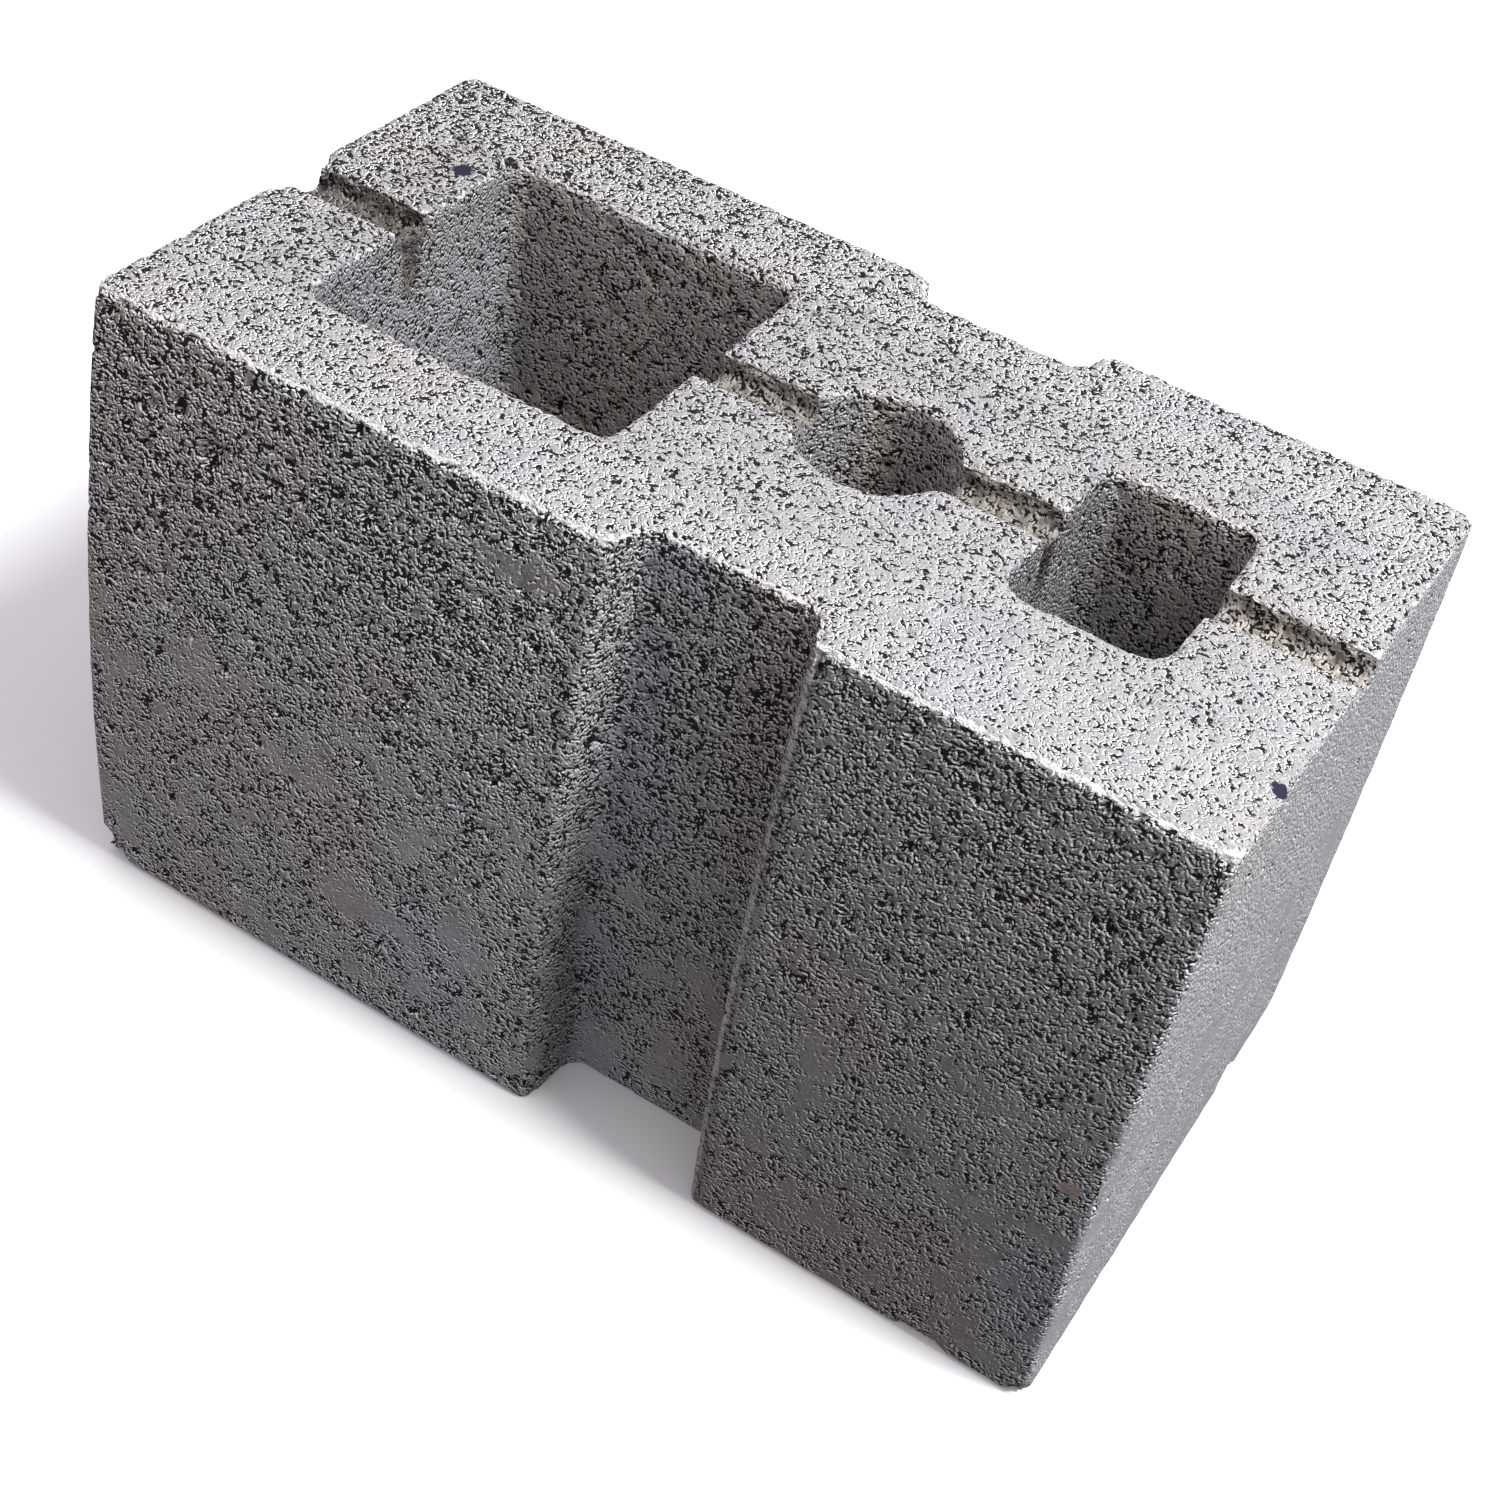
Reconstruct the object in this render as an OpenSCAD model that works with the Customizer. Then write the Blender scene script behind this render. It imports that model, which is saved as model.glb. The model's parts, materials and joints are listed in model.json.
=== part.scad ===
// Hollow concrete block: one cast piece with a large square core, a round hole,
// a small core, a shallow groove along the top and a recess down each long side.
// The long sides sagged a little before the concrete set, so the block is wider below than at its top.
// X runs along the length towards the small core, Y across the width, Z up.
// The origin is the middle of the bottom face. All sizes are in millimetres.

/* [Block] */
// Length of the block
length = 390; // [380:1:400]
// Height of the block
height = 240; // [180:1:260]
// Width of the block at its top
top_w = 194; // [186:1:218]
// Width of the block at its bottom
bottom_w = 218; // [190:1:226]
// How far the long sides bulge at half height
bulge = 6.5; // [0:0.5:10]
// Rounding of the upright outer edges
edge_r = 3; // [1:0.5:6]

/* [Side recesses] */
// Place of the recesses and the round hole along the length, from the middle
waist_x = 32; // [28:1:36]
// Width of the block between the backs of the two recesses, at its top and bottom
waist_w = 165; // [150:1:170]
// Width of a recess at the face of the block
mouth_w = 68; // [64:1:76]
// Width of the back of a recess, at the top of the block
back_top_w = 57; // [46:1:58]
// Width of the back of a recess, at the bottom of the block
back_bottom_w = 63; // [46:1:63]
// Rounding of the edges of a recess at the face of the block
mouth_r = 4; // [1:0.5:5]
// Rounding of the inner corners of a recess
back_r = 6; // [2:0.5:8]

/* [Cores] */
// Size of the large core along the length
large_l = 116; // [90:1:120]
// Size of the large core across the width
large_w = 112; // [80:1:120]
// Place of the large core along the length, from the middle
large_x = -88; // [-92:1:-86]
// Size of the small core along the length
small_l = 52; // [30:1:60]
// Size of the small core across the width
small_w = 76; // [40:1:100]
// Place of the small core along the length, from the middle
small_x = 120; // [116:1:124]
// Rounding of the upright corners of both cores
core_r = 8; // [2:0.5:12]
// Diameter of the round hole
hole_d = 52; // [30:1:54]

/* [Top groove] */
// Width of the groove
groove_w = 14; // [8:0.5:20]
// Depth of the groove
groove_depth = 8; // [3:0.5:12]

/* [Hidden] */
concrete = [0.62, 0.61, 0.59];
arc_steps = 6;
levels = 8;
past = 1;
$fn = 64;

function unit(v) = v / norm(v);
function angle(v) = atan2(v.y, v.x);
function turn(from, to) = (to - from + 540) % 360 - 180;

// Points of the arc that rounds the corner q between its neighbours p and s
function rounded(p, q, s, r) =
    let (
        u = unit(p - q),
        v = unit(s - q),
        half = acos(u * v) / 2,
        centre = q + unit(u + v) * r / sin(half),
        tangent = r / tan(half),
        start = angle(q + u * tangent - centre),
        sweep = turn(start, angle(q + v * tangent - centre))
    )
    [for (i = [0:arc_steps]) let (a = start + sweep * i / arc_steps) centre + r * [cos(a), sin(a)]];

// Sag of the long sides at the share t of the height, none at the bottom and the top
function sag(t) = 4 * bulge * t * (1 - t);
function between(bottom, top, t) = bottom + (top - bottom) * t;

// Outline of the near long side at the share t of the height, from the left end to the right end
function side_outline(t) =
    let (
        face = -between(bottom_w, top_w, t) / 2 - sag(t),
        back = -waist_w / 2 - sag(t),
        back_w = between(back_bottom_w, back_top_w, t),
        corners = [
            [-length / 2, face],
            [waist_x - mouth_w / 2, face],
            [waist_x - back_w / 2, back],
            [waist_x + back_w / 2, back],
            [waist_x + mouth_w / 2, face],
            [length / 2, face]
        ],
        radii = [edge_r, mouth_r, back_r, back_r, mouth_r, edge_r],
        last = len(corners) - 1
    )
    [
        for (i = [0:last])
            let (
                before = i == 0 ? [-length / 2, 0] : corners[i - 1],
                after = i == last ? [length / 2, 0] : corners[i + 1]
            )
            each rounded(before, corners[i], after, radii[i])
    ];

// Block without its holes: two mirrored long sides, joined across the bottom, the top and the ends
module body() {
    n = len(side_outline(0));
    end = n - 1;
    strip = [0:n - 2];
    storey = [0:levels - 1];
    function near(level, i) = 2 * level * n + i;
    function far(level, i) = near(level, i) + n;
    polyhedron(
        points = [
            for (level = [0:levels], side = [1, -1], p = side_outline(level / levels))
                [p.x, side * p.y, height * level / levels]
        ],
        faces = concat(
            [for (k = storey, i = strip) [near(k, i), near(k + 1, i), near(k + 1, i + 1)]],
            [for (k = storey, i = strip) [near(k, i), near(k + 1, i + 1), near(k, i + 1)]],
            [for (k = storey, i = strip) [far(k, i), far(k + 1, i + 1), far(k + 1, i)]],
            [for (k = storey, i = strip) [far(k, i), far(k, i + 1), far(k + 1, i + 1)]],
            [for (k = storey) [near(k, 0), far(k, 0), far(k + 1, 0), near(k + 1, 0)]],
            [for (k = storey) [near(k, end), near(k + 1, end), far(k + 1, end), far(k, end)]],
            [for (i = strip) [near(0, i), near(0, i + 1), far(0, i + 1), far(0, i)]],
            [for (i = strip) [near(levels, i), far(levels, i), far(levels, i + 1), near(levels, i + 1)]]
        )
    );
}

// Core with rounded upright corners, cut right through the height
module core(l, w) {
    translate([0, 0, -past])
        linear_extrude(height + 2 * past) {
            square([l - 2 * core_r, w], center = true);
            square([l, w - 2 * core_r], center = true);
            for (x = [-1, 1], y = [-1, 1])
                translate([x * (l / 2 - core_r), y * (w / 2 - core_r)])
                    circle(r = core_r);
        }
}

module block() {
    color(concrete)
        difference() {
            body();
            translate([large_x, 0, 0])
                core(large_l, large_w);
            translate([small_x, 0, 0])
                core(small_l, small_w);
            translate([waist_x, 0, -past])
                cylinder(d = hole_d, h = height + 2 * past);
            translate([-length / 2 - past, -groove_w / 2, height - groove_depth])
                cube([length + 2 * past, groove_w, groove_depth + past]);
        }
}

block();
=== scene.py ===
import json
import math
from types import SimpleNamespace

import bmesh
import bpy
import numpy as np
from mathutils import Matrix, Vector


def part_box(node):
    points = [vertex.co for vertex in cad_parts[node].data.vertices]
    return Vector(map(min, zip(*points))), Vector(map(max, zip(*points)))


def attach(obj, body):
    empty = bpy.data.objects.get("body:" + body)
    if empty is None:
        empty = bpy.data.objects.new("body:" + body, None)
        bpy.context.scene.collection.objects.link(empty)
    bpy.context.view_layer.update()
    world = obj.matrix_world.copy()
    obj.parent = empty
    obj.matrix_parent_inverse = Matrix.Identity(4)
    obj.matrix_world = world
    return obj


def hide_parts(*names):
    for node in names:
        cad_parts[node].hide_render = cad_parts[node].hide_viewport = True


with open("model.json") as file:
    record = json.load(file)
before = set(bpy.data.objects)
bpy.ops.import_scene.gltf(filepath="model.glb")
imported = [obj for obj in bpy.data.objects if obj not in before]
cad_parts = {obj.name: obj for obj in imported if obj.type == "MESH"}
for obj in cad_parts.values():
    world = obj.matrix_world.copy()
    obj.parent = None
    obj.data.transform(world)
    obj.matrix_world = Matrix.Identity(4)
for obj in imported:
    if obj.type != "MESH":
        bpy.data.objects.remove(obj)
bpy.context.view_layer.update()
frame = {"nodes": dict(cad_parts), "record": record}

# Places on the block, from the frame
MM = 0.001
low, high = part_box("block")
openings = {o["name"]: o["box_m"] for o in frame["record"]["physics"]["openings"]}
groove_side = openings["top_groove"][1][1]
groove_floor = openings["top_groove"][0][2]
large_wall = openings["large_core"][0][0]
small_wall = openings["small_core"][0][0]
recess_left = openings["near_recess"][0][0]
recess_right = openings["near_recess"][1][0]
lug_edge = recess_right + 8.3 * MM

# Mesh of the visible block
VOXEL = 1.3 * MM
TRIANGLES = 190000
CREASE = math.radians(50)
WELD = 0.001 * MM

# Relief: how deep each kind is, and the size of the noise that it follows
ROUGHNESS = 0.45 * MM
PIT_DEPTH = 1.3 * MM
WEAR_DEPTH = 1.4 * MM
TEAR_DEPTH = 2.2 * MM
LUMP_SIZE = 9 * MM
PIT_SIZE = 5.5 * MM
CRUMBLE_SIZE = 4.5 * MM
TEAR_SIZE = 7 * MM
SMEAR_SIZE = 22 * MM

# Pits: a higher value makes more and wider ones. Those in the shape are wider than those painted as shade in
# the colour
PITS_IN_SHAPE = 0.31
PITS_IN_SHADE = 0.26

# Grain: the size of its dots and strokes, how far the dots are drawn out, and the width of the painted
# highlights on the lips
GRAIN_SIZE = 1.05 * MM
STRETCH = (0.7, 0.85, 1.0)
PACKING_SIZE = 5 * MM
STROKE_SIZE = 2.6 * MM
BREAK_SIZE = 2 * MM
LIT_LIP_WIDTH = 0.8 * MM
BUMP_HEIGHT = 1.2 * MM

# Colour: the size of its clouds, stains, stones and crumbs
CLOUD_SIZE = 16 * MM
STAIN_SIZE = 60 * MM
STONE_SIZE = 4 * MM
CRUMB_SIZE = 2.2 * MM
CEMENT_DARK = (0.24, 0.237, 0.234, 1)
CEMENT_PALE = (0.28, 0.278, 0.276, 1)
CEMENT_BROWN = (0.262, 0.242, 0.216, 1)
CEMENT_BLUE = (0.245, 0.245, 0.261, 1)
TORN_DARK = (0.10, 0.088, 0.075, 1)
TORN_PALE = (0.23, 0.211, 0.187, 1)
# Painted highlight on the lips beside the gaps, on the side toward the lamp
LIP_HIGHLIGHT = (0.85, 0.845, 0.84, 1)
# Worn rims, paler partly as a painted highlight along them
RIM_WORN_AND_HIGHLIT = (0.55, 0.545, 0.535, 1)
# Painted shade in the gaps and pits
GAP_SHADE = (0.006, 0.0055, 0.005, 1)
FLOOR_DARK = (0.80, 0.80, 0.795, 1)
FLOOR_PALE = (0.83, 0.83, 0.83, 1)

# Light: a large soft lamp above, to the right and a little behind, and a sky that is brighter overhead
LAMP_WAY = Vector((0.51, 0.03, 0.88)).normalized()
LAMP_REACH = 2.2
LAMP_SIZE = 0.7
LAMP_POWER = 87
SKY_LOW = 0.14
SKY_HIGH = 0.93
SKY_TINT = (0.98, 0.94, 1.0, 1)

# Floor: half its side, how far it lies under the block, and the size of its clouds
FLOOR_REACH = 8.0
FLOOR_GAP = 0.2 * MM
FLOOR_CLOUD_SIZE = 0.4

# Camera: the eye, the point it looks at, its tilt about that line, and its lens and sensor in millimetres
EYE = Vector((262.4, -550.2, 646.9)) * MM
AIM = Vector((12.7, -9.2, 104.9)) * MM
ROLL = math.radians(10.47)
LENS = 56.2
SENSOR = 36

# Chips: place, reach and depth, in millimetres
CHIPS = [
    ((-193, -108, 4), 11, 4.0),
    ((194, -109, 1), 7, 2.2),
    ((160, -109, 1), 7, 1.8),
    ((152, -109, 1), 6, 1.6),
    ((-143.5, -102.5, 203), 7, 2.6),
    ((-66, -110.5, 39), 6, 2.4),
    ((-50, -110, 16), 5, 2.0),
    ((-195, 8, 236), 10, 3.5),
    ((-195, -9, 238), 8, 3.0),
    ((195, 60, 2), 10, 3.5),
    ((-192, 108, 6), 9, 3.0),
]

# Patches: place and reach in millimetres, and how much more open, more brownish and darker they are
PATCHES = [
    ((-28, -100.4, 217), (16, 8, 5), -0.9, 0.8, 0.28),
    ((-49, -110.5, 45), (18, 10, 24), 0.0, -1.0, -0.15),
    ((195, -65, 68), (4, 8, 24), 0.0, -0.6, -0.25),
]

# Pebbles that show at the surface: place and reach in millimetres, and colour
BLUISH = (0.018, 0.018, 0.034, 1)
PINKISH = (0.25, 0.205, 0.19, 1)
PEBBLES = [
    ((-155.2, 39, 240), 3.6, BLUISH),
    ((193.2, -64.6, 240), 3.2, BLUISH),
    ((185.9, -110.1, 106.7), 3.0, PINKISH),
]


def fade(values, start, end):
    """0 at start, 1 at end, smooth between them."""
    t = np.clip((values - start) / (end - start), 0, 1)
    return t * t * (3 - 2 * t)


def near(values, middle, outer, inner):
    """1 within the inner distance from the middle, 0 beyond the outer one."""
    return fade(np.abs(values - middle), outer, inner)


class Nodes:
    """Short ways to add nodes. A material and a modifier that make the same calls get the same noise."""

    def __init__(self, tree):
        self.tree = tree
        self.tree.nodes.clear()

    def add(self, kind, inputs=None, **settings):
        made = self.tree.nodes.new(kind)
        for name, value in settings.items():
            setattr(made, name, value)
        for name, value in (inputs or {}).items():
            socket = made.inputs[name]
            if isinstance(value, bpy.types.NodeSocket):
                self.tree.links.new(value, socket)
            else:
                socket.default_value = value
        return made

    def noise(self, vector, size, detail=2.0, roughness=0.6, distortion=0.0):
        """Noise from 0 to 1 with lumps of the given size in metres."""
        inputs = {
            "Vector": vector,
            "Scale": 1 / size,
            "Detail": detail,
            "Roughness": roughness,
            "Distortion": distortion,
        }
        return self.add("ShaderNodeTexNoise", inputs).outputs["Fac"]

    def math(self, operation, a, b=0.0, c=0.0):
        return self.add("ShaderNodeMath", {0: a, 1: b, 2: c}, operation=operation).outputs[0]

    def vector(self, operation, a, b, output="Vector", c=(0, 0, 0)):
        return self.add("ShaderNodeVectorMath", {0: a, 1: b, 2: c}, operation=operation).outputs[output]

    def scale(self, vector, by):
        return self.add("ShaderNodeVectorMath", {0: vector, "Scale": by}, operation="SCALE").outputs[0]

    def fade(self, value, start, end):
        """0 at start, 1 at end, smooth between them."""
        inputs = {"Value": value, "From Min": start, "From Max": end}
        return self.add("ShaderNodeMapRange", inputs, interpolation_type="SMOOTHSTEP").outputs["Result"]

    def mix(self, share, a, b):
        return self.add("ShaderNodeMix", {"Factor": share, 6: a, 7: b}, data_type="RGBA").outputs[2]

    def attribute(self, name):
        return self.add("ShaderNodeAttribute", attribute_name=name).outputs["Fac"]


def pit_pattern(n, place, openness, least):
    """Pits where several grains are missing, from 0 to 1."""
    limit = n.math("MULTIPLY_ADD", openness, 0.10, least)
    return n.fade(n.math("SUBTRACT", limit, n.noise(place, PIT_SIZE)), 0.0, 0.06)


def grain_pattern(n, place, openness):
    """The gaps between the grains, which the colour fills with painted shade, and the painted highlight on
    the lip beside each gap that faces the lamp, each from 0 to 1.
    """
    upward = n.attribute("upward")
    packing = n.noise(place, PACKING_SIZE, 1.0)
    limit = n.math("MULTIPLY_ADD", packing, -0.28, n.math("MULTIPLY_ADD", openness, 0.14, 0.485))
    # On the top the painted shade in the gaps is wider, softer and greyer, as light reaches into them there
    limit = n.math("MULTIPLY_ADD", upward, 0.03, limit)
    softness = n.math("MULTIPLY_ADD", upward, 0.05, 0.018)
    stroke_width = n.math("MULTIPLY_ADD", openness, 0.05, 0.022)

    def gap(at):
        drawn_out = n.vector("MULTIPLY", at, STRETCH)
        dots = n.fade(n.math("SUBTRACT", limit, n.noise(drawn_out, GRAIN_SIZE, 1.0, 0.5, 0.5)), 0.0, softness)
        from_crest = n.math("ABSOLUTE", n.math("SUBTRACT", n.noise(at, STROKE_SIZE, 1.0, 0.5, 0.6), 0.5))
        strokes = n.fade(n.math("SUBTRACT", stroke_width, from_crest), 0.0, 0.02)
        pieces = n.fade(n.noise(at, BREAK_SIZE, 0.0), 0.49, 0.55)
        return n.math("MAXIMUM", dots, n.math("MULTIPLY", strokes, pieces))

    # Painted highlight: a lip lies where a gap is found a short way toward the lamp along the surface
    normal = n.add("ShaderNodeNewGeometry").outputs["Normal"]
    along = n.vector("SUBTRACT", LAMP_WAY, n.vector("PROJECT", LAMP_WAY, normal))
    towards_lamp = n.vector("MULTIPLY_ADD", along, (LIT_LIP_WIDTH,) * 3, c=place)
    gaps = gap(place)
    lit_lips = n.math("MULTIPLY", gap(towards_lamp), n.math("SUBTRACT", 1.0, gaps))
    return gaps, lit_lips


def apply_modifiers(skin):
    ready = skin.evaluated_get(bpy.context.evaluated_depsgraph_get())
    mesh = bpy.data.meshes.new_from_object(ready)
    skin.modifiers.clear()
    skin.data = mesh


def even_skin(cad):
    """A copy of the solid's surface in even small quads."""
    shape = bmesh.new()
    shape.from_mesh(cad.data)
    bmesh.ops.remove_doubles(shape, verts=shape.verts, dist=WELD)
    mesh = bpy.data.meshes.new("solid_copy")
    shape.to_mesh(mesh)
    shape.free()
    skin = bpy.data.objects.new("concrete_block", mesh)
    bpy.context.scene.collection.objects.link(skin)
    remesh = skin.modifiers.new("even", "REMESH")
    remesh.mode = "VOXEL"
    remesh.voxel_size = VOXEL
    remesh.adaptivity = 0
    apply_modifiers(skin)
    return skin


def read_vectors(items, attribute):
    values = np.zeros(len(items) * 3, np.float32)
    items.foreach_get(attribute, values)
    return values.reshape(-1, 3).astype(float)


def store(mesh, name, values):
    attribute = mesh.attributes.new(name, "FLOAT", "POINT")
    attribute.data.foreach_set("value", values.astype(np.float32))


def outer_edges(mesh, points, normals):
    """1 along the outer edges, falling to 0 a few millimetres away from them."""
    ends = np.zeros(len(mesh.edges) * 2, np.int64)
    mesh.edges.foreach_get("vertices", ends)
    start, end = ends.reshape(-1, 2).T
    count = np.bincount(ends, minlength=len(points))

    def neighbours(values):
        total = np.bincount(start, values[end], len(points)) + np.bincount(end, values[start], len(points))
        return total / count

    middle = np.column_stack([neighbours(points[:, axis]) for axis in range(3)])
    bend = ((points - middle) * normals).sum(axis=1) / VOXEL
    for _ in range(3):
        bend = neighbours(bend)
    return fade(bend, 0.02, 0.11)


def find_zones(points, normals):
    """What part of the block each point is on, as shares from 0 to 1."""
    x, y, z = points.T
    zone = SimpleNamespace()
    zone.upward = fade(normals[:, 2], 0.5, 0.8)
    zone.facing_right = fade(normals[:, 0], 0.4, 0.8)
    zone.facing_front = fade(normals[:, 1], -0.2, -0.8)

    # Both ends, of which the right one is smooth from the mould
    zone.end = fade(np.abs(x), high.x - 4 * MM, high.x - 2 * MM) * fade(np.abs(normals[:, 0]), 0.5, 0.8)
    zone.moulded = np.where(x > 0, zone.end, 0)

    # The front, its recess, and the lug to the right of that
    zone.front = fade(y, -70 * MM, -85 * MM) * (1 - zone.upward) * (1 - zone.end)
    zone.recess = zone.front * near(x, (recess_left + recess_right) / 2, 42 * MM, 38 * MM)
    zone.lug = zone.front * fade(x, recess_right + 4 * MM, recess_right + 10 * MM)

    # The middle of the block, with the cores and the round hole, and a little more of it for their rims
    zone.middle = near(y, 0, 62 * MM, 58 * MM) * near(x, 0, high.x - 20 * MM, high.x - 25 * MM)
    zone.rims = near(y, 0, 75 * MM, 65 * MM) * near(x, 0, high.x - 8 * MM, high.x - 20 * MM)

    # The torn groove, and torn strips below it on the left walls of both cores
    zone.small_wall = near(x, small_wall, 8 * MM, 4 * MM)
    left_walls = np.maximum(near(x, large_wall, 8 * MM, 4 * MM), zone.small_wall)
    zone.strips = near(y, 0, 6 * MM, 3 * MM) * left_walls * fade(z, high.z - 40 * MM, high.z - 15 * MM)
    zone.groove = near(y, 0, groove_side + 3 * MM, groove_side) * fade(z, groove_floor - 4 * MM, groove_floor)
    zone.ragged = np.maximum(zone.groove, zone.strips)
    return zone


def find_openness(zone, points):
    """How open the grain is: on the top most of all at its far left, on the sides above half height."""
    x, y, z = points.T
    top = 0.63 - 1.1 * x + 1.8 * y
    side = 0.80 + 0.08 * fade(z, 0.25 * high.z, 0.8 * high.z)
    side *= 1 - 0.22 * zone.middle - 0.2 * zone.lug
    openness = zone.upward * top + (1 - zone.upward) * side * (1 - 0.6 * zone.moulded)
    return (1 - zone.ragged) * openness + 0.55 * zone.ragged


def find_warmth(zone, points):
    """More brownish above 0, more bluish below it."""
    x, _, z = points.T
    far_left = fade(x, low.x + 100 * MM, low.x + 30 * MM)
    beside_lug = fade(x, recess_left + 15 * MM, recess_right)
    beside_lug *= fade(x, recess_right + 12 * MM, recess_right + 4 * MM)
    left_in_recess = fade(x, recess_left + 30 * MM, recess_left + 10 * MM)
    left_in_recess *= fade(x, recess_left - 8 * MM, recess_left)
    foot = fade(z, 75 * MM, 25 * MM)
    low_corner = fade(z, 100 * MM, 40 * MM) * fade(x, high.x - 35 * MM, high.x - 15 * MM)
    warmth = zone.front * (far_left + 0.8 * beside_lug - left_in_recess)
    warmth += zone.lug * (foot - 1.8 * low_corner)
    warmth += zone.middle * (zone.facing_front - 0.8 * zone.facing_right)
    warmth -= 1.2 * zone.moulded + 0.25 * zone.upward * fade(x, low.x + 70 * MM, 0)
    return warmth


def find_painted_shade_and_tone(zone, points):
    """How much darker than the cement colour it is, below 0 where it is paler: painted shade low on the
    recess's left wall, on the small core's left wall and below the rims of core walls that face right, and
    elsewhere darker or paler by place.
    """
    x, _, z = points.T
    right_half = fade(x, recess_left - 8 * MM, recess_right)
    low_down = fade(z, 0.6 * high.z, 0.4 * high.z)
    below_rim = fade(z, high.z - 40 * MM, high.z - 6 * MM) * fade(x, 60 * MM, 40 * MM)
    groove_left = fade(x, low.x + 70 * MM, low.x + 40 * MM)
    groove_right = fade(x, high.x - 60 * MM, high.x - 45 * MM)
    # Darker on the right half of the front, on the lug and a little on the right end
    painted_shade_and_tone = 0.24 * zone.front * right_half + 0.1 * zone.lug + 0.03 * zone.moulded
    # Painted shade on the lower half of the recess's left wall
    painted_shade_and_tone += 0.3 * zone.recess * zone.facing_right * low_down
    # Painted shade on core walls that face right: the whole small core's left wall, and just below the rim
    # further left
    painted_shade_and_tone += zone.middle * zone.facing_right * (0.52 * zone.small_wall + 0.3 * below_rim)
    # Paler on the core walls that face the front
    painted_shade_and_tone -= 0.15 * zone.middle * zone.facing_front
    # Darker at the groove's left end, paler at its right end, and darker on the torn strips
    painted_shade_and_tone += zone.groove * (0.5 * groove_left - 0.45 * groove_right) + 0.4 * zone.strips
    return painted_shade_and_tone


def find_chips(points):
    """How deep each point is chipped, in metres."""
    chipped = np.zeros(len(points))
    for place, reach, depth in CHIPS:
        away = np.linalg.norm(points - np.array(place) * MM, axis=1) / (reach * MM)
        chipped += depth * MM * fade(away, 1.0, 0.35)
    return chipped


def mark(skin):
    """Stores on the mesh what its relief and its colour follow at each point."""
    mesh = skin.data
    points = read_vectors(mesh.vertices, "co")
    normals = read_vectors(mesh.vertex_normals, "vector")
    height = points[:, 2]
    zone = find_zones(points, normals)
    openness = find_openness(zone, points)
    warmth = find_warmth(zone, points)
    painted_shade_and_tone = find_painted_shade_and_tone(zone, points)
    for place, reach, opener, warmer, darker in PATCHES:
        away = np.linalg.norm((points / MM - np.array(place)) / np.array(reach), axis=1)
        patch = fade(away, 1.15, 0.75)
        openness += opener * patch
        warmth += warmer * patch
        painted_shade_and_tone += darker * patch

    # Rims of the top are worn and crumbled, other edges only a little
    edge = outer_edges(mesh, points, normals) * (1 - 0.35 * zone.rims)
    wear = edge * (0.15 + 0.85 * fade(height, high.z - 10 * MM, high.z - 5 * MM))

    # Painted highlights on the lips beside the gaps are weaker in the middle, in the recess, on the lug and
    # where it is torn
    lit_lip_share = (1 - 0.5 * np.maximum(zone.middle, zone.recess) - 0.35 * zone.lug) * (1 - 0.75 * zone.ragged)

    # Cement is smeared over the grain, mostly low on the sides
    smeared = (1 - 0.8 * zone.upward) * fade(height, 0.8 * high.z, 0.3 * high.z)

    marks = {
        "edge": edge,
        "front": zone.front,
        "wear": wear,
        "upward": zone.upward,
        "ragged": zone.ragged,
        "openness": openness,
        "smeared": smeared,
        "warmth": warmth,
        "painted_shade_and_tone": painted_shade_and_tone,
        "lit_lip_share": lit_lip_share,
        "chipped": find_chips(points),
    }
    for name, values in marks.items():
        store(mesh, name, values)


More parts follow.
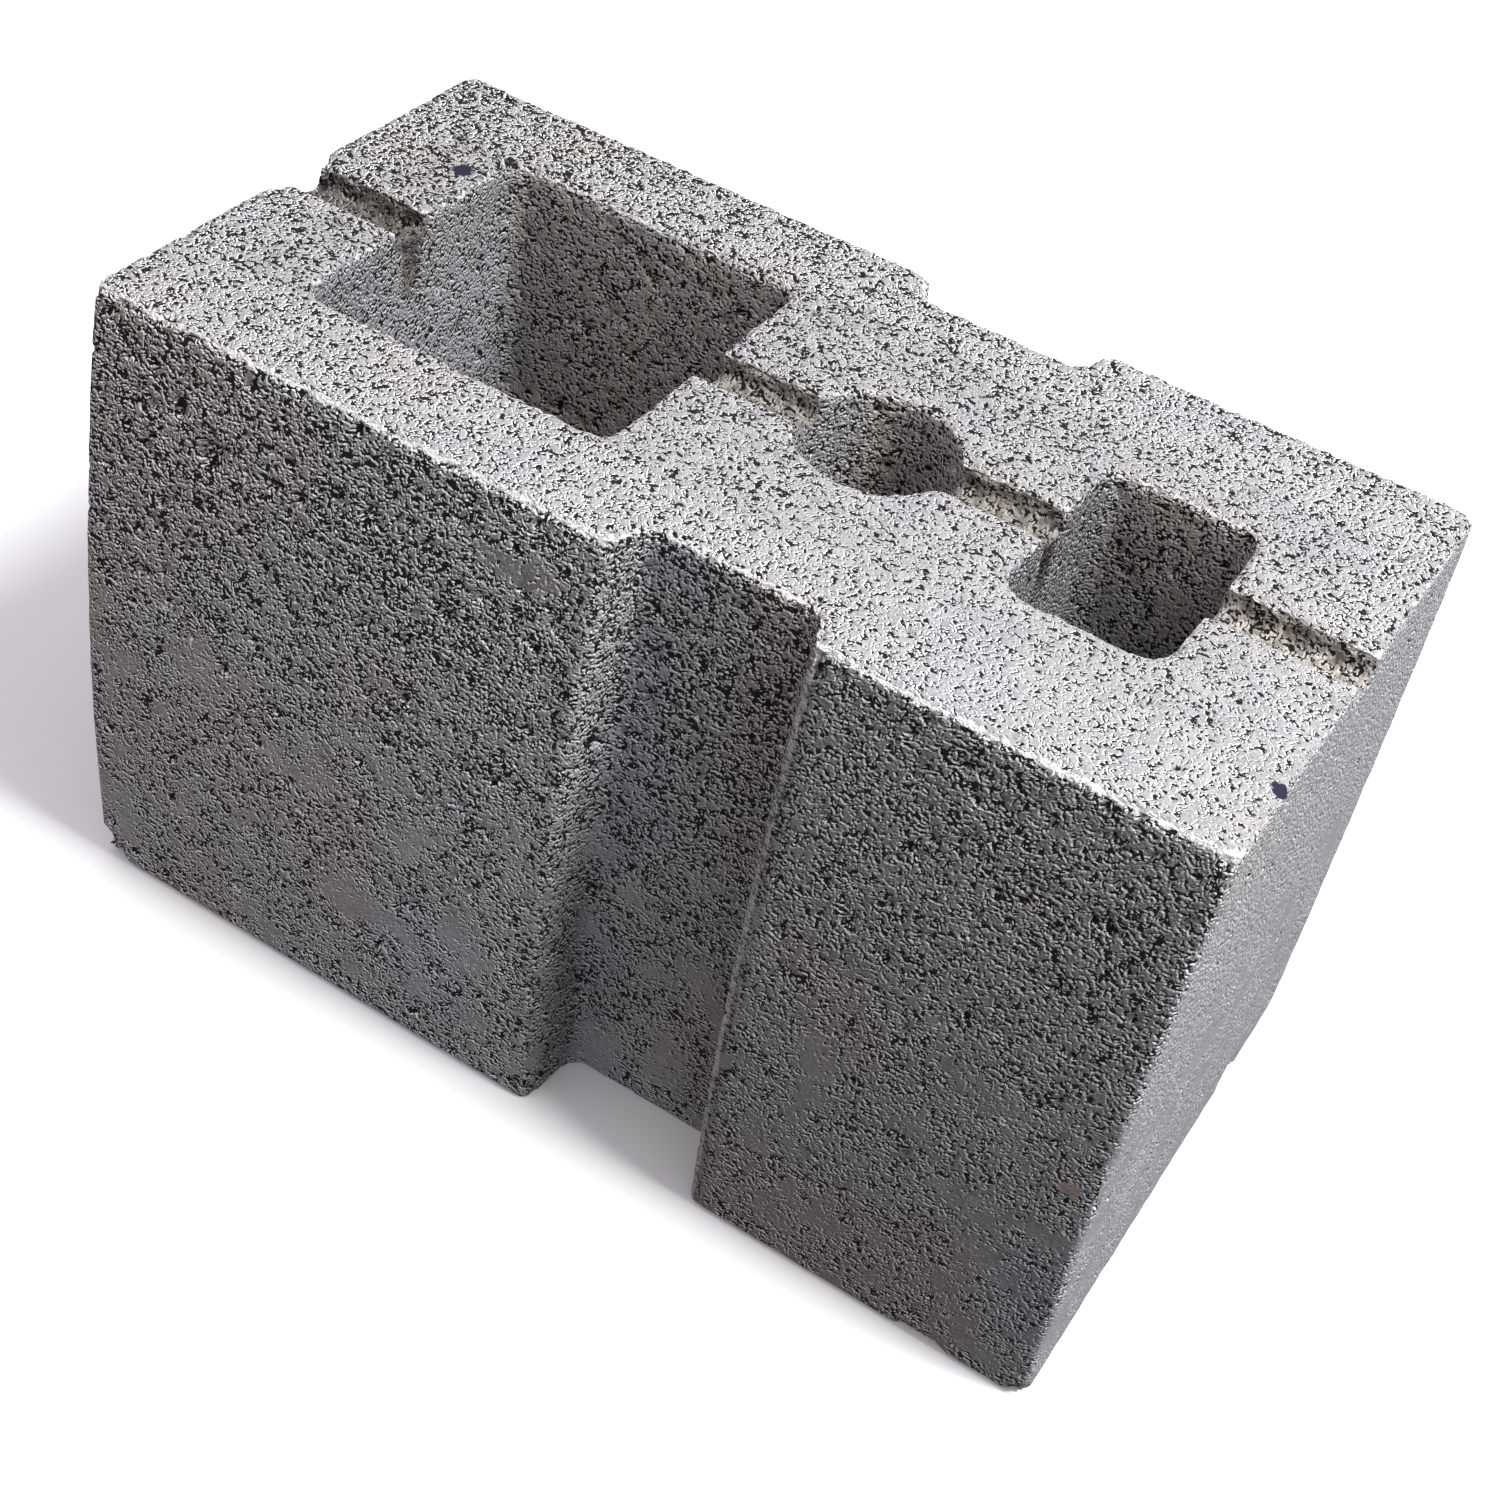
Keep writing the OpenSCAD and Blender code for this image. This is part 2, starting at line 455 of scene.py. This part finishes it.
def weathering_tree():
    """Sinks the surface at pits, edges, torn places and chips, and keeps where each point was before."""
    tree = bpy.data.node_groups.new("weathering", "GeometryNodeTree")
    tree.interface.new_socket("Geometry", in_out="INPUT", socket_type="NodeSocketGeometry")
    tree.interface.new_socket("Geometry", in_out="OUTPUT", socket_type="NodeSocketGeometry")
    n = Nodes(tree)

    def named(name):
        found = n.add("GeometryNodeInputNamedAttribute", {"Name": name}, data_type="FLOAT")
        return found.outputs["Attribute"]

    def keep(geometry, name, value, kind):
        inputs = {"Geometry": geometry, "Name": name, "Value": value}
        kept = n.add("GeometryNodeStoreNamedAttribute", inputs, data_type=kind, domain="POINT")
        return kept.outputs["Geometry"]

    whole = n.add("NodeGroupInput").outputs["Geometry"]
    place = n.add("GeometryNodeInputPosition").outputs["Position"]
    smeared = n.math("MULTIPLY", n.fade(n.noise(place, SMEAR_SIZE), 0.50, 0.64), named("smeared"))
    openness = n.math("SUBTRACT", named("openness"), smeared)
    marked = keep(keep(whole, "rest", place, "FLOAT_VECTOR"), "openness", openness, "FLOAT")

    lumps = n.math("SUBTRACT", 0.5, n.noise(place, LUMP_SIZE))
    pits = pit_pattern(n, place, named("openness"), PITS_IN_SHAPE)
    crumbling = n.fade(n.noise(place, CRUMBLE_SIZE), 0.3, 0.7)
    worn = n.math("MULTIPLY", named("wear"), n.math("MULTIPLY_ADD", crumbling, 1.2, 0.2))
    torn = n.math("MULTIPLY", named("ragged"), n.math("SUBTRACT", 0.75, n.noise(place, TEAR_SIZE, 3.0)))
    depth = n.math("MULTIPLY", pits, PIT_DEPTH)
    depth = n.math("MULTIPLY_ADD", lumps, 2 * ROUGHNESS, depth)
    depth = n.math("MULTIPLY_ADD", worn, WEAR_DEPTH, depth)
    depth = n.math("MULTIPLY_ADD", torn, 2 * TEAR_DEPTH, depth)
    depth = n.math("MULTIPLY_ADD", named("chipped"), n.math("ADD", crumbling, 0.5), depth)

    normal = n.add("GeometryNodeInputNormal").outputs["Normal"]
    inward = n.scale(normal, n.math("MULTIPLY", depth, -1.0))
    sunk = n.add("GeometryNodeSetPosition", {"Geometry": marked, "Offset": inward}).outputs["Geometry"]
    n.add("NodeGroupOutput", {"Geometry": sunk})
    return tree


def weather(skin):
    """Gives the skin its relief, thins it to its number of triangles and keeps it between its two beds."""
    skin.modifiers.new("weathering", "NODES").node_group = weathering_tree()
    thinner = skin.modifiers.new("fewer", "DECIMATE")
    thinner.ratio = TRIANGLES / (2 * len(skin.data.polygons))
    apply_modifiers(skin)
    mesh = skin.data
    mesh.name = "concrete_block"
    points = read_vectors(mesh.vertices, "co")
    points[:, 2] = np.clip(points[:, 2], low.z, high.z)
    mesh.vertices.foreach_set("co", points.astype(np.float32).ravel())
    mesh.materials.clear()
    mesh.shade_smooth()
    mesh.set_sharp_from_angle(angle=CREASE)
    mesh.update()


def cement_colour(n, place, grains):
    """Cement grey in clouds, brownish or bluish by place, paler on raised grains and darker between them as
    painted shade, torn in places, and darker or paler by the stored painted shade and tone.
    """
    clouds = n.noise(place, CLOUD_SIZE, 3.0)
    colour = n.mix(n.fade(clouds, 0.35, 0.65), CEMENT_DARK, CEMENT_PALE)
    warmth = n.math("MULTIPLY_ADD", n.noise(place, STAIN_SIZE, 3.0), 4.0, n.attribute("warmth"))
    colour = n.mix(n.fade(warmth, 2.2, 3.0), colour, CEMENT_BROWN)
    colour = n.mix(n.fade(warmth, 1.7, 1.0), colour, CEMENT_BLUE)
    # Paler on the raised grains and darker between them: painted shade that follows the bump's height
    colour = n.scale(colour, n.math("MULTIPLY_ADD", grains, 0.9, 0.55))
    stones = n.fade(n.noise(place, STONE_SIZE, 1.0), 0.38, 0.55)
    torn = n.mix(stones, TORN_DARK, TORN_PALE)
    colour = n.mix(n.math("MULTIPLY", n.attribute("ragged"), 0.9), colour, torn)
    # Darker by the stored painted shade and tone, paler where it is below 0
    return n.scale(colour, n.math("SUBTRACT", 1.0, n.attribute("painted_shade_and_tone")))


def worn_and_highlit_edges(n, place, crumbs):
    """Where rims are crumbled and worn with a painted highlight along them, edges are rubbed, and the lug's
    upright edge is bare with painted light over its rounded side that faces away from the lamp, from 0 to 1.
    """
    # Crumbled, worn rims, paler partly as a painted highlight along them
    rims = n.fade(n.math("MULTIPLY_ADD", crumbs, 1.8, n.attribute("wear")), 1.46, 1.54)
    rubbed = n.fade(n.attribute("edge"), 0.75, 0.95)
    across = n.add("ShaderNodeSeparateXYZ", {0: place}).outputs["X"]
    # Painted light along the lug's rounded upright edge, which faces away from the lamp
    from_edge = n.math("ABSOLUTE", n.math("SUBTRACT", across, lug_edge))
    lug_light_line = n.math("MULTIPLY", n.fade(from_edge, 1.7 * MM, 0.8 * MM), n.attribute("front"))
    rubbed_and_lit_lines = n.math("MAXIMUM", n.math("MULTIPLY", rubbed, 0.3), n.math("MULTIPLY", lug_light_line, 0.45))
    return n.math("MAXIMUM", n.math("MULTIPLY", rims, 0.9), rubbed_and_lit_lines)


def concrete_material():
    material = bpy.data.materials.new("concrete")
    material.use_nodes = True
    n = Nodes(material.node_tree)
    place = n.add("ShaderNodeAttribute", attribute_name="rest").outputs["Vector"]
    openness = n.attribute("openness")
    gaps, lit_lips = grain_pattern(n, place, openness)
    # Pits are filled with painted shade too
    gaps = n.math("MAXIMUM", gaps, pit_pattern(n, place, openness, PITS_IN_SHADE))
    grains = n.noise(place, GRAIN_SIZE, 1.0)
    crumbs = n.noise(place, CRUMB_SIZE)

    # Painted highlights on the lips, and pale worn edges partly painted as highlight, over the cement, then
    # gaps in nearly black painted shade, less so on the edges, then pebbles
    worn_and_highlit = worn_and_highlit_edges(n, place, crumbs)
    # Painted shade in the gaps, weaker on the worn and highlit edges
    gap_shade = n.math("MULTIPLY", gaps, n.math("MULTIPLY_ADD", worn_and_highlit, -0.67, 0.98))
    colour = cement_colour(n, place, grains)
    colour = n.mix(n.math("MULTIPLY", lit_lips, n.attribute("lit_lip_share")), colour, LIP_HIGHLIGHT)
    colour = n.mix(worn_and_highlit, colour, RIM_WORN_AND_HIGHLIT)
    colour = n.mix(gap_shade, colour, GAP_SHADE)
    for middle, reach, tint in PEBBLES:
        away = n.vector("DISTANCE", place, Vector(middle) * MM, "Value")
        uneven = n.math("MULTIPLY_ADD", crumbs, 4 * MM, away)
        colour = n.mix(n.fade(uneven, (reach + 2.5) * MM, (reach + 1.5) * MM), colour, tint)

    height = n.math("MULTIPLY", grains, n.math("MULTIPLY_ADD", openness, 0.7, 0.3))
    inputs = {"Strength": 1.0, "Distance": BUMP_HEIGHT, "Height": height}
    bumpy = n.add("ShaderNodeBump", inputs).outputs["Normal"]
    inputs = {"Base Color": colour, "Roughness": 0.92, "Specular IOR Level": 0.1, "Normal": bumpy}
    shader = n.add("ShaderNodeBsdfPrincipled", inputs)
    n.add("ShaderNodeOutputMaterial", {"Surface": shader.outputs["BSDF"]})
    return material


def floor_material():
    material = bpy.data.materials.new("pale_floor")
    material.use_nodes = True
    n = Nodes(material.node_tree)
    place = n.add("ShaderNodeTexCoord").outputs["Object"]
    colour = n.mix(n.noise(place, FLOOR_CLOUD_SIZE, 2.0, 0.5), FLOOR_DARK, FLOOR_PALE)
    shader = n.add("ShaderNodeBsdfPrincipled", {"Base Color": colour, "Roughness": 0.9})
    n.add("ShaderNodeOutputMaterial", {"Surface": shader.outputs["BSDF"]})
    return material


def make_camera():
    data = bpy.data.cameras.new("camera")
    data.sensor_width = SENSOR
    data.lens = LENS
    camera = bpy.data.objects.new("camera", data)
    turned = (AIM - EYE).to_track_quat("-Z", "Y").to_matrix() @ Matrix.Rotation(ROLL, 3, "Z")
    camera.matrix_world = Matrix.Translation(EYE) @ turned.to_4x4()
    bpy.context.scene.collection.objects.link(camera)
    bpy.context.scene.camera = camera


def make_light():
    data = bpy.data.lights.new("key", "AREA")
    data.shape = "DISK"
    data.size = LAMP_SIZE
    data.energy = LAMP_POWER
    lamp = bpy.data.objects.new("key", data)
    lamp.location = (low + high) / 2 + LAMP_WAY * LAMP_REACH
    lamp.rotation_euler = LAMP_WAY.to_track_quat("Z", "Y").to_euler()
    bpy.context.scene.collection.objects.link(lamp)


def make_sky():
    world = bpy.data.worlds.new("studio")
    world.use_nodes = True
    bpy.context.scene.world = world
    n = Nodes(world.node_tree)
    way = n.add("ShaderNodeTexCoord").outputs["Generated"]
    upward = n.add("ShaderNodeSeparateXYZ", {0: way}).outputs["Z"]
    inputs = {"Value": upward, "From Min": -0.4, "From Max": 0.6, "To Min": SKY_LOW, "To Max": SKY_HIGH}
    glow = n.add("ShaderNodeMapRange", inputs).outputs["Result"]
    sky = n.add("ShaderNodeBackground", {"Color": SKY_TINT, "Strength": glow})
    n.add("ShaderNodeOutputWorld", {"Surface": sky.outputs["Background"]})
    bpy.context.scene.view_settings.view_transform = "Standard"


def make_floor():
    mesh = bpy.data.meshes.new("floor")
    level = low.z - FLOOR_GAP
    corners = [(x * FLOOR_REACH, y * FLOOR_REACH, level) for x, y in ((-1, -1), (1, -1), (1, 1), (-1, 1))]
    mesh.from_pydata(corners, [], [(0, 1, 2, 3)])
    mesh.materials.append(floor_material())
    floor = bpy.data.objects.new("floor", mesh)
    floor.visible_diffuse = False
    bpy.context.scene.collection.objects.link(floor)


block = even_skin(frame["nodes"]["block"])
mark(block)
weather(block)
block.data.materials.append(concrete_material())
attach(block, "root")
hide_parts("block")

make_camera()
make_light()
make_sky()
make_floor()
